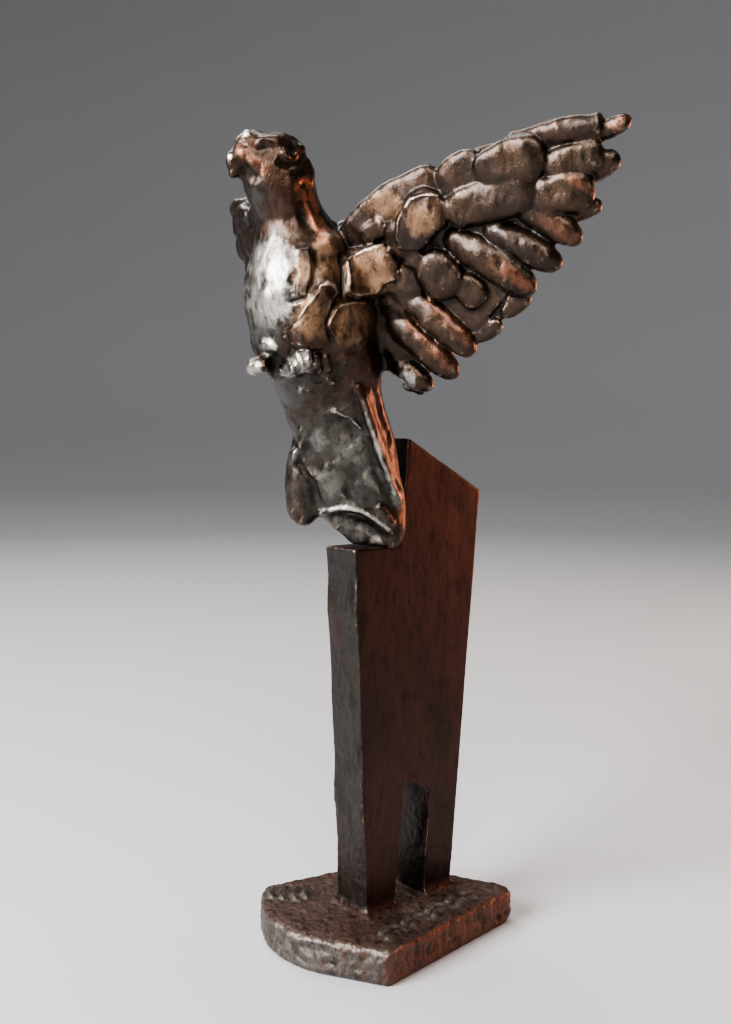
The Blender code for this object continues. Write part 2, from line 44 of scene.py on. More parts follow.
sameSpot = 0.00001    # metres within which two points of a mesh are one

# where the photograph was taken from; pixels are those of its 731 x 1024 frame
photo = {
    "place": (-163.5, -193.8, 128.5),
    "turn": -39.62,
    "pitch": -4.07,
    "focalPixels": 1000.0,
    "width": 731,
    "height": 1024,
    "toBird": 240.0,      # about how far away the bird is
    "sensorHeight": 36,
    "nearestSeen": 0.01,  # metres
}


def photoAxes():
    turn = math.radians(photo["turn"])
    pitch = math.radians(photo["pitch"])
    right = np.array([math.cos(turn), math.sin(turn), 0.0])
    level = np.array([-math.sin(turn), math.cos(turn), 0.0])
    ahead = level * math.cos(pitch) + np.array([0.0, 0.0, math.sin(pitch)])
    return right, np.cross(right, ahead), ahead


photoEye = np.array(photo["place"]) * mm
photoRight, photoUp, photoAhead = photoAxes()


def toPixels(points):
    # pixels and depths of points in metres
    away = points - photoEye
    depth = away @ photoAhead
    x = photo["width"] / 2 + photo["focalPixels"] * (away @ photoRight) / depth
    y = photo["height"] / 2 - photo["focalPixels"] * (away @ photoUp) / depth
    return np.stack([x, y], -1), depth


def pixelRay(x, y):
    sideways = (x - photo["width"] / 2) / photo["focalPixels"]
    upwards = (photo["height"] / 2 - y) / photo["focalPixels"]
    way = photoAhead + photoRight * sideways + photoUp * upwards
    return Vector(way).normalized()


def makeCamera():
    data = bpy.data.cameras.new("photo camera")
    data.sensor_fit = "VERTICAL"
    data.sensor_height = photo["sensorHeight"]
    data.lens = data.sensor_height * photo["focalPixels"] / photo["height"]
    data.clip_start = photo["nearestSeen"]
    camera = bpy.data.objects.new("photo camera", data)
    bpy.context.scene.collection.objects.link(camera)
    camera.location = photoEye
    camera.rotation_euler = (math.radians(90 + photo["pitch"]), 0, math.radians(photo["turn"]))
    bpy.context.scene.camera = camera


def deselectAll():
    if bpy.context.object and bpy.context.object.mode != "OBJECT":
        bpy.ops.object.mode_set(mode="OBJECT")
    bpy.ops.object.select_all(action="DESELECT")


def pick(item):
    deselectAll()
    item.select_set(True)
    bpy.context.view_layer.objects.active = item


def applyModifiers(item):
    pick(item)
    for modifier in list(item.modifiers):
        bpy.ops.object.modifier_apply(modifier=modifier.name)


def joinAll(items, name):
    deselectAll()
    for item in items:
        item.select_set(True)
    bpy.context.view_layer.objects.active = items[0]
    bpy.ops.object.join()
    items[0].name = name
    return items[0]


def newPiece(name, mesh):
    item = bpy.data.objects.new(name, mesh)
    bpy.context.scene.collection.objects.link(item)
    return item


# the roll that feathers, toes, folds of wax and strokes are made of
patternSizes = {
    "segments": 24,
    "rings": 12,
    "bodySteps": 5,
    "seam": 0.0001,
    "digits": 5,          # kept of its coordinates
    "longestEnd": 0.42,   # the most that a round end takes of a roll's length
    "dishWidth": 0.8,     # share of the width that is hollow where a roll is dished
    "dentSpacing": 3.4,   # dents of the fingers, in millimetres
    "dentDepth": 0.26,
    "dentWidth": 5.0,     # narrower rolls have shallower dents
}


def fixOrder(item):
    # extrude numbers points and faces another way in each run, so they are sorted by place
    places = [tuple(round(c, patternSizes["digits"]) + 0.0 for c in v.co) for v in item.data.vertices]
    order = sorted(range(len(places)), key=places.__getitem__)
    number = {old: new for new, old in enumerate(order)}
    faces = []
    for face in item.data.polygons:
        corners = [number[k] for k in face.vertices]
        start = corners.index(min(corners))
        faces.append(corners[start:] + corners[:start])
    mesh = bpy.data.meshes.new("sorted pattern")
    mesh.from_pydata([places[k] for k in order], [], sorted(faces))
    item.data = mesh


def makeRollPattern():
    # a capsule from x -1 to 1, half a unit in radius; its round ends lie outside x -0.5 and 0.5
    deselectAll()
    bpy.ops.mesh.primitive_uv_sphere_add(segments=patternSizes["segments"], ring_count=patternSizes["rings"],
                                         radius=0.5, location=(-0.5, 0, 0), rotation=(0, math.pi / 2, 0))
    roll = bpy.context.object
    bpy.ops.object.transform_apply(location=True, rotation=True, scale=True)
    bpy.ops.object.mode_set(mode="EDIT")
    bpy.ops.mesh.select_all(action="SELECT")
    bpy.ops.mesh.bisect(plane_co=(-0.5, 0, 0), plane_no=(1, 0, 0), clear_outer=True)
    bpy.ops.mesh.select_all(action="DESELECT")
    bpy.ops.mesh.select_mode(type="EDGE")
    bpy.ops.mesh.select_non_manifold()
    for _ in range(patternSizes["bodySteps"]):
        step = 0.5 / patternSizes["bodySteps"]
        bpy.ops.mesh.extrude_region_move(TRANSFORM_OT_translate={"value": (step, 0, 0)})
    bpy.ops.object.mode_set(mode="OBJECT")
    mirror = roll.modifiers.new("other half", "MIRROR")
    mirror.merge_threshold = patternSizes["seam"]
    applyModifiers(roll)
    fixOrder(roll)
    roll.name = "roll pattern"
    return roll


def smoothPath(points, t):
    # a point and a direction on a smooth curve through two or more points
    count = len(points) - 1
    place = min(max(t, 0), 1) * count
    k = min(int(place), count - 1)
    f = place - k
    p1, p2 = points[k], points[k + 1]
    p0 = points[k - 1] if k > 0 else p1 * 2 - p2
    p3 = points[k + 2] if k + 2 <= count else p2 * 2 - p1
    bend = 2 * p0 - 5 * p1 + 4 * p2 - p3
    twist = 3 * p1 - p0 - 3 * p2 + p3
    here = 0.5 * (2 * p1 + (p2 - p0) * f + bend * f ** 2 + twist * f ** 3)
    way = 0.5 * ((p2 - p0) + 2 * bend * f + 3 * twist * f ** 2)
    return here, way.normalized()


def layRoll(path, width, depth, face, blunt, rootWidth=0.8, square=2.2, dish=0.0):
    # a copy of the roll laid along a path in millimetres, with its depth along the direction face;
    # blunt is how long its round ends are, in half widths, and rootWidth the root's share of the width;
    # a square of 2 is round and more is flatter with fuller edges, dish is how hollow its top is
    path = [Vector(p) for p in path]
    face = Vector(face).normalized()
    length = sum((b - a).length for a, b in zip(path, path[1:]))
    cap = min(width / 2 * blunt / length, patternSizes["longestEnd"])
    mesh = rollPattern.data.copy()
    for v in mesh.vertices:
        x = v.co.x
        outer = max(abs(x) - 0.5, 0) * 2
        inner = min(abs(x), 0.5) * 2
        t = 0.5 + math.copysign(0.5 * (inner * (1 - 2 * cap) + outer * 2 * cap), x)
        here, along = smoothPath(path, t)
        across = along.cross(face).normalized()
        up = across.cross(along)
        radius = math.hypot(v.co.y, v.co.z)
        sideways, upwards = (v.co.y / radius, v.co.z / radius) if radius else (0, 0)
        swell = radius * (abs(sideways) ** square + abs(upwards) ** square + tiny) ** (-1 / square)
        wide = width * (rootWidth + (1 - rootWidth) * min(t * 2, 1))
        onBody = max(radius * 5 - 1.5, 0)   # 1 along the roll and 0 at its tips
        middle = max(1 - (sideways / patternSizes["dishWidth"]) ** 2, 0) * onBody * max(upwards, 0)
        height = upwards * swell * depth - dish * middle
        place = here + across * sideways * swell * wide + up * height
        dent = noise.noise_vector(place / patternSizes["dentSpacing"]) * patternSizes["dentDepth"]
        v.co = (place + dent * min(width / patternSizes["dentWidth"], 1)) * mm
    return newPiece("roll", mesh)


def copyOfNode(node):
    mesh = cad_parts[node].data.copy()
    mesh.materials.clear()
    shape = bmesh.new()
    shape.from_mesh(mesh)
    bmesh.ops.remove_doubles(shape, verts=shape.verts, dist=sameSpot)
    shape.to_mesh(mesh)
    shape.free()
    return newPiece(node + " core", mesh)


def remesh(item, voxel, smoothing=0):
    skin = item.modifiers.new("skin", "REMESH")
    skin.mode = "VOXEL"
    skin.voxel_size = voxel * mm
    if smoothing:
        calm = item.modifiers.new("calm", "SMOOTH")
        calm.factor = 0.5     # half way to the neighbours
        calm.iterations = smoothing
    applyModifiers(item)


# sight from the photograph's place: least turn towards it, metres off the surface, rounds of blurring
sight = {
    "tilt": 0.05,
    "start": 0.0004,
    "rounds": 4,
}


# the surface as arrays, for work on all its points at once
class Skin:
    def __init__(self, item):
        self.item = item
        mesh = item.data
        self.count = len(mesh.vertices)
        self.points = np.empty(self.count * 3)
        mesh.vertices.foreach_get("co", self.points)
        self.points = self.points.reshape(-1, 3)
        edges = np.empty(len(mesh.edges) * 2, dtype=np.int64)
        mesh.edges.foreach_get("vertices", edges)
        self.edges = edges.reshape(-1, 2)
        self.degree = np.bincount(self.edges.ravel(), minlength=self.count).astype(float)
        self.degree[self.degree == 0] = 1
        self.update()

    def update(self):
        mesh = self.item.data
        mesh.vertices.foreach_set("co", self.points.ravel())
        mesh.update()
        self.normals = np.empty(self.count * 3)
        mesh.vertices.foreach_get("normal", self.normals)
        self.normals = self.normals.reshape(-1, 3)

    def blur(self, values, rounds):
        a, b = self.edges[:, 0], self.edges[:, 1]
        values = values.reshape(self.count, -1).astype(float)
        for _ in range(rounds):
            total = np.zeros_like(values)
            for c in range(values.shape[1]):
                total[:, c] = (np.bincount(a, values[b, c], self.count)
                               + np.bincount(b, values[a, c], self.count))
            values = 0.5 * values + 0.5 * total / self.degree[:, None]
        return values if values.shape[1] > 1 else values[:, 0]

    def push(self, heights):
        # moves each point along its normal by a height in millimetres
        self.points += self.normals * (heights * mm)[:, None]
        self.update()

    def seenFromPhoto(self):
        # 1 at the points that show in the photograph, with a soft edge
        tree = BVHTree.FromPolygons([tuple(p) for p in self.points],
                                    [tuple(p.vertices) for p in self.item.data.polygons])
        seen = np.zeros(self.count)
        toEye = photoEye - self.points
        reach = np.linalg.norm(toEye, axis=1)
        toEye /= reach[:, None]
        facing = np.einsum("ij,ij->i", self.normals, toEye)
        for i in np.nonzero(facing > sight["tilt"])[0]:
            start = Vector(self.points[i] + self.normals[i] * sight["start"])
            if tree.ray_cast(start, Vector(toEye[i]), reach[i])[0] is None:
                seen[i] = 1
        return self.blur(seen, sight["rounds"])

    def grain(self, scale, stretch=(1, 1, 1), octaves=2, seed=0.0):
        # soft noise at each point, about -1 to 1; scale is the size of a lump in millimetres
        out = np.empty(self.count)
        spread = self.points / (scale * mm) / np.array(stretch) + seed
        for i in range(self.count):
            out[i] = noise.fractal(spread[i], 1.0, 2.0, octaves)
        return out

    def heightsOver(self, rounds):
        # how far each point stands out of the blurred surface, in millimetres
        away = self.points - self.blur(self.points, rounds)
        return np.einsum("ij,ij->i", away, self.normals) / mm

    def keep(self, name, values):
        # as an attribute that the materials read
        layer = self.item.data.attributes.new(name, "FLOAT", "POINT")
        layer.data.foreach_set("value", np.ascontiguousarray(values, dtype=np.float32))


def distanceToPath(points, path):
    # distance in the points' own unit, and how far along the path the nearest place lies, 0 to 1
    best = np.full(len(points), np.inf)
    along = np.zeros(len(points))
    lengths = [math.dist(a, b) for a, b in zip(path, path[1:])]
    gone = 0.0
    for a, b, length in zip(path, path[1:], lengths):
        a, run = np.array(a, float), np.array(b, float) - np.array(a, float)
        t = np.clip(((points - a) @ run) / max(run @ run, tiny), 0, 1)
        away = np.linalg.norm(points - (a + t[:, None] * run), axis=1)
        nearer = away < best
        best[nearer] = away[nearer]
        along[nearer] = ((gone + t * length) / max(sum(lengths), tiny))[nearer]
        gone += length
    return best, along


def above(values, start, over):
    # 0 up to start, then a ramp up to 1
    return np.clip((values - start) / over, 0, 1)


def below(values, end, over):
    # 1, then a ramp down to 0 at end
    return np.clip((end - values) / over, 0, 1)


hand = {
    "sway": 1.3,          # pixels by which drawn lines wander
    "swaySpacing": 4.0,
    "uneven": 0.25,       # share by which their width changes
    "unevenSpacing": 2.5,
    "runOut": 0.28,       # share of a line over which it fades at each end
    "runOutPower": 0.7,
    "crestPower": 1.6,    # the sharpness of a crest
    "plateEdge": 0.8,     # millimetres over which a plate rises
    "rimPlace": 0.45,     # how far inside the edge of a plate its rim lies
    "rimWidth": 0.65,
    "rimSide": (-0.8, -0.6),  # the side of a plate, in the photograph, on which its rim is highest
    "rimHeights": (0.45, 0.75, 0.05),   # share between the sides, their gain or loss, and the least
    # rounds of blurring, for crests and for larger forms
    "crestRounds": 5,
    "reliefRounds": 22,
}


def insideOutline(pixels, corners):
    inside = np.zeros(len(pixels), bool)
    for (ax, ay), (bx, by) in zip(corners, corners[1:] + corners[:1]):
        crosses = (ay > pixels[:, 1]) != (by > pixels[:, 1])
        at = ax + (bx - ax) * (pixels[:, 1] - ay) / ((by - ay) or 1)
        inside ^= crosses & (pixels[:, 0] < at)
    return inside


def workSkin(skin, plates, lines):
    # raises plates with a thin rim, and pushes crests, folds and grooves into what the photograph shows,
    # all with an unsteady hand
    seen = skin.seenFromPhoto()
    sway = np.stack([skin.grain(hand["swaySpacing"], seed=k) for k in (11.0, 23.0)], -1) * hand["sway"]
    uneven = 1 + hand["uneven"] * skin.grain(hand["unevenSpacing"], seed=31.0)
    usual, oneSided, least = hand["rimHeights"]
    for corners, rise, rim in plates:
        pixels, depth = toPixels(skin.points)
        away, _ = distanceToPath(pixels + sway, corners + corners[:1])
        away *= depth / mm / photo["focalPixels"]
        inside = insideOutline(pixels + sway, corners)
        up = above(away, 0, hand["plateEdge"])
        outward = pixels - np.mean(corners, axis=0)
        outward /= np.linalg.norm(outward, axis=1)[:, None] + tiny
        side = np.clip(usual + oneSided * (outward @ np.array(hand["rimSide"])), least, 1)
        edge = np.clip(1 - np.abs(away - hand["rimPlace"]) / hand["rimWidth"], 0, 1) * side
        skin.push(seen * inside * (rise * up * up * (3 - 2 * up) + rim * uneven * edge))
    for kind, path, radius, height in lines:
        pixels, depth = toPixels(skin.points)
        size = depth / mm / photo["focalPixels"]
        away, along = distanceToPath(pixels + sway, path)
        fade = above(np.minimum(along, 1 - along), 0, hand["runOut"]) ** hand["runOutPower"]
        reach = np.clip(away * size / (radius * uneven), 0, 1)
        profile = (1 - reach) ** hand["crestPower"] if kind == "crest" else (1 - reach ** 2) ** 2
        skin.push(height * seen * fade * profile)


# the wing is a slightly bowed sheet, given by three points of the near one; u and v run out and down on it
wing = {
    "shoulder": (-15.9, -8.5, 176.8),
    "tip": (6.4, -70.5, 192.8),
    "low": (-0.3, -20.5, 140.5),
    "farLift": 6.0,
    "farSwing": 3.5,
    "bowRise": 0.9,
    "bowMiddle": 30,      # the u at which it stands highest
    "bowAlong": 0.0009,
    "bowDown": 0.0012,
    "webDepth": 2.8,
    "web": [(-6, 2), (2, -1), (14, -2.2), (46, -2.2), (58, 1), (54, 8), (44, 17), (34, 25), (25, 30),
            (10, 31), (-2, 31), (-7, 16)],
    # long feathers of the near wing: where they run in the photograph, width, depth, how proud, how blunt,
    # and the width of the root; they are round, and their roots lie deeper
    "rootSink": 1.4,
    "featherSquare": 2.2,
    "feathers": [
        ([(510, 143), (558, 131), (605, 125)], 5.2, 4.2, 0.7, 0.5, 0.8),
        ([(592, 136), (612, 128), (631, 117)], 4.0, 3.4, -0.1, 1.7, 1.0),
        ([(582, 178), (603, 166), (618, 152)], 5.0, 3.8, -0.2, 0.9, 0.8),
        ([(556, 214), (582, 211), (603, 203)], 3.9, 3.4, -0.1, 1.1, 0.8),
        ([(512, 202), (548, 219), (583, 242)], 6.2, 5.0, 0.8, 1.9, 0.7),
        ([(482, 224), (522, 243), (563, 267)], 6.6, 5.4, 1.1, 1.9, 0.75),
        ([(446, 234), (492, 259), (537, 292)], 7.6, 5.6, 1.3, 1.8, 0.8),
        ([(404, 296), (438, 317), (476, 353)], 7.0, 5.6, 1.7, 1.8, 0.85),
        ([(383, 314), (420, 341), (458, 378)], 6.9, 5.4, 1.2, 1.8, 0.85),
        ([(386, 360), (408, 372), (432, 390)], 5.6, 4.6, 0.7, 1.5, 0.85),
        ([(470, 296), (500, 308)], 6.6, 3.0, -0.6, 1.0, 0.9),
        ([(440, 326), (478, 334)], 5.6, 3.0, -0.6, 1.0, 0.9),
    ],
    # flatter pellets with raised edges, pressed on over them
    "scales": [
        ([(347, 243), (374, 216), (402, 196), (446, 177)], 8.2, 4.4, 0.8, 0.9, 0.9),
        ([(366, 238), (382, 228), (394, 222)], 4.6, 3.0, 2.0, 0.9, 0.9),
        ([(441, 188), (487, 161)], 8.8, 4.2, 1.3, 0.8, 0.9),
        ([(479, 176), (515, 161), (551, 157)], 9.2, 4.6, 2.1, 0.9, 0.85),
        ([(545, 168), (580, 160), (606, 150)], 6.8, 4.2, 0.9, 0.9, 0.9),
        ([(453, 219), (470, 206), (502, 199), (541, 186)], 8.8, 4.4, 2.1, 0.9, 0.85),
        ([(533, 201), (566, 193), (597, 190)], 8.4, 4.6, 1.4, 0.9, 0.9),
        ([(428, 254), (459, 294)], 9.8, 4.2, 2.4, 0.9, 0.95),
        ([(462, 276), (485, 305)], 6.6, 3.6, 1.2, 0.9, 0.95),
        ([(398, 251), (421, 223), (448, 196)], 10.2, 4.2, 2.8, 0.9, 0.95),
        ([(344, 277), (372, 271), (400, 266)], 11.6, 4.0, 2.7, 0.5, 0.95),
        ([(403, 306), (424, 258)], 7.4, 3.6, 1.6, 0.9, 0.95),
        ([(378, 306), (426, 293)], 8.8, 3.6, 1.1, 0.9, 0.95),
        ([(350, 302), (388, 300)], 7.8, 3.4, 1.2, 0.8, 0.95),
        ([(410, 254), (430, 261)], 4.4, 2.8, 2.9, 1.0, 0.95),
        ([(503, 317), (530, 292)], 4.2, 3.0, 0.3, 1.2, 0.8),
        ([(472, 340), (502, 322)], 4.2, 3.0, 0.3, 1.2, 0.8),
        ([(401, 384), (413, 391)], 2.4, 2.0, 0.6, 1.0, 0.95),
        ([(409, 388), (423, 394)], 2.2, 2.0, 0.4, 1.0, 0.95),
    ],
    "scaleSquare": 2.6,
    "scaleDish": 0.2,
    # rows on the hidden side: count, first tip, last tip, bulge, first and last angle, length, width, proud
    "backRows": [
        (8, (59, 5.0), (7, 33), 4.0, 15, 58, 19, 7.8, -1.0),
        (6, (45, 5.0), (7, 21), 2.5, 10, 48, 16, 9.2, -2.0),
        (5, (56, -1.0), (10, 3), -1.0, 2, 12, 17, 8.2, -1.6),
    ],
    "backDepth": 3.8,
    "backBlunt": 1.0,
    "backRoot": 0.8,      # how much higher the root of a hidden feather lies
    "bulgeWay": (0.4, 0.9),
    # chance: where the dice start, how far a feather strays, and what its width is multiplied by
    "dice": 5,
    "wander": 0.7,
    "widthChange": (0.9, 1.08),
}


class WingSheet:
    def __init__(self, side):
        flip = Matrix.Diagonal((1, -side, 1))
        pose = Matrix.Identity(3)
        if side > 0:
            pose = (Matrix.Rotation(math.radians(wing["farSwing"]), 3, "Z")
                    @ Matrix.Rotation(math.radians(wing["farLift"]), 3, "X"))
        shoulder, tip, low = (Vector(wing[k]) for k in ("shoulder", "tip", "low"))
        self.side = side
        self.shoulder = flip @ shoulder
        out = pose @ (flip @ (tip - shoulder))
        down = pose @ (flip @ (low - shoulder))
        self.out = out.normalized()
        self.face = (out.cross(down) * side).normalized()
        self.down = (down - self.out * down.dot(self.out)).normalized()

    def at(self, u, v, proud=0.0):
        # a place on the sheet, so far proud of it
        camber = -wing["bowAlong"] * (u - wing["bowMiddle"]) ** 2 + wing["bowRise"] - wing["bowDown"] * v * v
        return self.shoulder + self.out * u + self.down * v + self.face * (proud + camber)

    def fromPixel(self, x, y):
        # where the photograph's line of sight meets the sheet
        eye = Vector(photo["place"])
        ray = pixelRay(x, y)
        hit = eye + ray * ((self.shoulder - eye).dot(self.face) / ray.dot(self.face)) - self.shoulder
        return hit.dot(self.out), hit.dot(self.down)


def makeWing(side):
    sheet = WingSheet(side)
    near = WingSheet(-1)
    dice = random.Random(wing["dice"] + side)
    pieces = []
    web = bmesh.new()
    low = [web.verts.new(sheet.at(u, v, -wing["webDepth"] / 2) * mm) for u, v in wing["web"]]
    web.faces.new(low)
    high = [web.verts.new(sheet.at(u, v, wing["webDepth"] / 2) * mm) for u, v in wing["web"]]
    web.faces.new(high[::-1])
    for i in range(len(low)):
        j = (i + 1) % len(low)
        web.faces.new((low[i], low[j], high[j], high[i]))
    bmesh.ops.recalc_face_normals(web, faces=web.faces)
    mesh = bpy.data.meshes.new("web")
    web.to_mesh(mesh)
    web.free()
    pieces.append(newPiece("web", mesh))
    kinds = ((wing["feathers"], wing["rootSink"], wing["featherSquare"], 0.0),
             (wing["scales"], 0.0, wing["scaleSquare"], wing["scaleDish"]))
    for rows, sink, square, dish in kinds:
        for path, width, depth, proud, blunt, rootWidth in rows:
            places = [near.fromPixel(x, y) for x, y in path]
            if side > 0:
                shift = [dice.uniform(-1, 1) * wing["wander"] for _ in range(2)]
                places = [(u + shift[0], v + shift[1]) for u, v in places]
                width = width * dice.uniform(*wing["widthChange"])
            line = [sheet.at(u, v, proud - sink * (k == 0)) for k, (u, v) in enumerate(places)]
            pieces.append(layRoll(line, width, depth, sheet.face, blunt, rootWidth, square, dish))
    bulgeAlong, bulgeDown = wing["bulgeWay"]
    for count, first, last, bulge, angle1, angle2, length, width, proud in wing["backRows"]:
        for k in range(count):
            t = k / (count - 1)
            swell = bulge * math.sin(math.pi * t)
            stray = [dice.uniform(-1, 1) * wing["wander"] for _ in range(2)]
            u = first[0] + (last[0] - first[0]) * t + bulgeAlong * swell + stray[0]
            v = first[1] + (last[1] - first[1]) * t + bulgeDown * swell + stray[1]
            turn = math.radians(angle1 + (angle2 - angle1) * t)
            root = sheet.at(u - length * math.cos(turn), v - length * math.sin(turn),
                            proud + wing["backRoot"])
            pieces.append(layRoll([root, sheet.at(u, v, proud)], width, wing["backDepth"], sheet.face,
                                  wing["backBlunt"]))
    return pieces


# masses laid on the body where the photograph shows them: path in pixels, width, depth, how far their top
# stands above the body, how blunt, the root's share of the width, and how square
masses = {
    "head": [
        ([(241, 135), (252, 131)], 2.6, 2.4, 0.8, 1.0, 1.0, 2.2),
        ([(236, 150), (248, 155), (263, 167)], 4.6, 3.4, 0.6, 0.9, 0.8, 2.2),
        ([(234, 150), (230, 159), (231, 170)], 3.0, 2.8, 0.5, 1.0, 0.9, 2.2),
        ([(255, 141), (267, 145)], 3.4, 2.6, 0.45, 1.0, 1.0, 2.2),
        ([(281, 155), (289, 152)], 4.0, 3.2, 0.9, 1.0, 1.0, 2.0),
        ([(294, 151), (301, 156)], 3.2, 2.6, 0.8, 1.0, 1.0, 2.0),
        ([(306, 156), (311, 170), (309, 184)], 3.0, 2.4, 0.6, 1.0, 0.8, 2.2),
        ([(304, 190), (310, 210), (317, 228), (325, 242)], 4.4, 3.2, 0.15, 0.9, 0.7, 2.0),
    ],
    "breast": [
        ([(319, 244), (340, 243)], 5.6, 4.0, 0.9, 0.8, 1.0, 2.4),
        ([(328, 262), (329, 296)], 5.6, 3.0, 0.5, 0.9, 0.9, 2.4),
        ([(343, 350), (349, 366)], 5.6, 3.0, 0.5, 1.0, 0.9, 2.2),
    ],
    "feet": [
        ([(281, 356), (270, 346), (259, 341)], 3.0, 2.8, 1.0, 1.0, 0.9, 2.2),
        ([(299, 353), (302, 362), (305, 370)], 1.9, 3.2, 1.6, 1.0, 1.0, 2.0),
        ([(306, 352), (308, 361), (311, 370)], 1.6, 2.8, 1.3, 1.0, 1.0, 2.0),
        ([(315, 352), (316, 362), (317, 371)], 2.3, 3.4, 1.6, 1.0, 1.0, 2.0),
        ([(325, 354), (327, 362), (331, 374)], 2.0, 2.6, 1.1, 1.0, 1.0, 2.0),
        ([(296, 367), (289, 371), (282, 371)], 2.8, 3.0, 1.2, 1.0, 1.0, 2.0),
        ([(246, 366), (254, 367), (262, 373), (272, 381)], 3.8, 3.4, 0.5, 1.0, 1.0, 2.0),
        ([(325, 376), (336, 384)], 1.5, 1.6, 0.6, 1.0, 1.0, 2.0),
        ([(298, 388), (304, 394)], 1.8, 1.6, 0.5, 1.0, 1.0, 2.0),
    ],
    "tail": [
        ([(357, 384), (368, 410), (376, 440), (387, 474), (401, 505)], 2.6, 3.0, 0.9, 1.0, 0.9, 2.0),
        ([(318, 512), (341, 508), (363, 512), (382, 524), (402, 541)], 2.0, 2.8, 0.9, 1.0, 0.9, 2.0),
        ([(350, 442), (362, 456)], 9.5, 3.2, 0.4, 1.4, 1.0, 2.0),
        ([(356, 452), (333, 470), (314, 486)], 6.0, 3.0, 0.5, 1.4, 0.9, 2.0),
        ([(362, 466), (372, 482), (378, 498)], 5.5, 3.0, 0.5, 1.4, 0.8, 2.0),
        ([(377, 504), (384, 514), (394, 528)], 3.0, 2.8, 1.0, 1.0, 0.8, 2.0),
        ([(291, 440), (292, 462), (300, 478)], 3.0, 2.2, 0.4, 1.2, 0.8, 2.2),
        ([(300, 427), (302, 432)], 1.8, 1.6, 0.5, 1.0, 1.0, 2.0),
    ],
}


def makeMasses(core):
    tree = BVHTree.FromPolygons([tuple(v.co) for v in core.data.vertices],
                                [tuple(p.vertices) for p in core.data.polygons])
    pieces = []
    for row in masses.values():
        for pixels, width, depth, proud, blunt, rootWidth, square in row:
            line, facing = [], Vector()
            for x, y in pixels:
                hit, normal, _, _ = tree.ray_cast(Vector(photoEye), pixelRay(x, y))
                if hit is None:
                    near = Vector(photoEye) + pixelRay(x, y) * photo["toBird"] * mm
                    hit, normal, _, _ = tree.find_nearest(near)
                line.append(hit / mm + normal * (proud - depth / 2))
                facing += normal
            pieces.append(layRoll(line, width, depth, facing, blunt, rootWidth, square))
    return pieces


